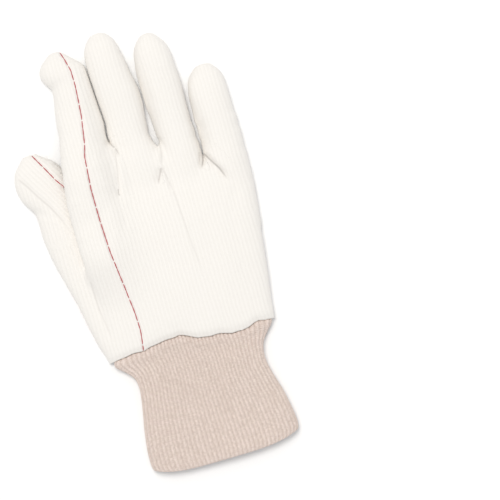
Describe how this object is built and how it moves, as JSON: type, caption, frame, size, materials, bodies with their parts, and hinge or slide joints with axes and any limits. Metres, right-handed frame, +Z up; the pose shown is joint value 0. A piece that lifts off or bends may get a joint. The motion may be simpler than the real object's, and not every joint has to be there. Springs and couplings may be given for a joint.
{
  "type": "cotton work glove",
  "caption": "Right-hand work glove of off-white corded cotton with red seams and a ribbed knit cuff, lying palm down with the thumb under the index finger.",
  "frame": {"origin": "on the surface that the glove lies on, under the middle of its bounding box", "axes": "+Y from the cuff to the fingertips, +X towards the little finger, +Z up, out of the back of the hand"},
  "size_m": [0.1414, 0.27, 0.0253],
  "materials": {
    "cotton": "matte, softly napped, fine cords along the fingers",
    "knit": "matte rib knit"
  },
  "bodies": {
    "root": {"back_panel": "cotton", "index_side_panel": "cotton", "thumb_back_panel": "cotton", "palm_panel_thumb": "cotton", "palm_panel_middle": "cotton", "palm_panel_little": "cotton", "knit_cuff": "knit"}
  },
  "joints": []
}
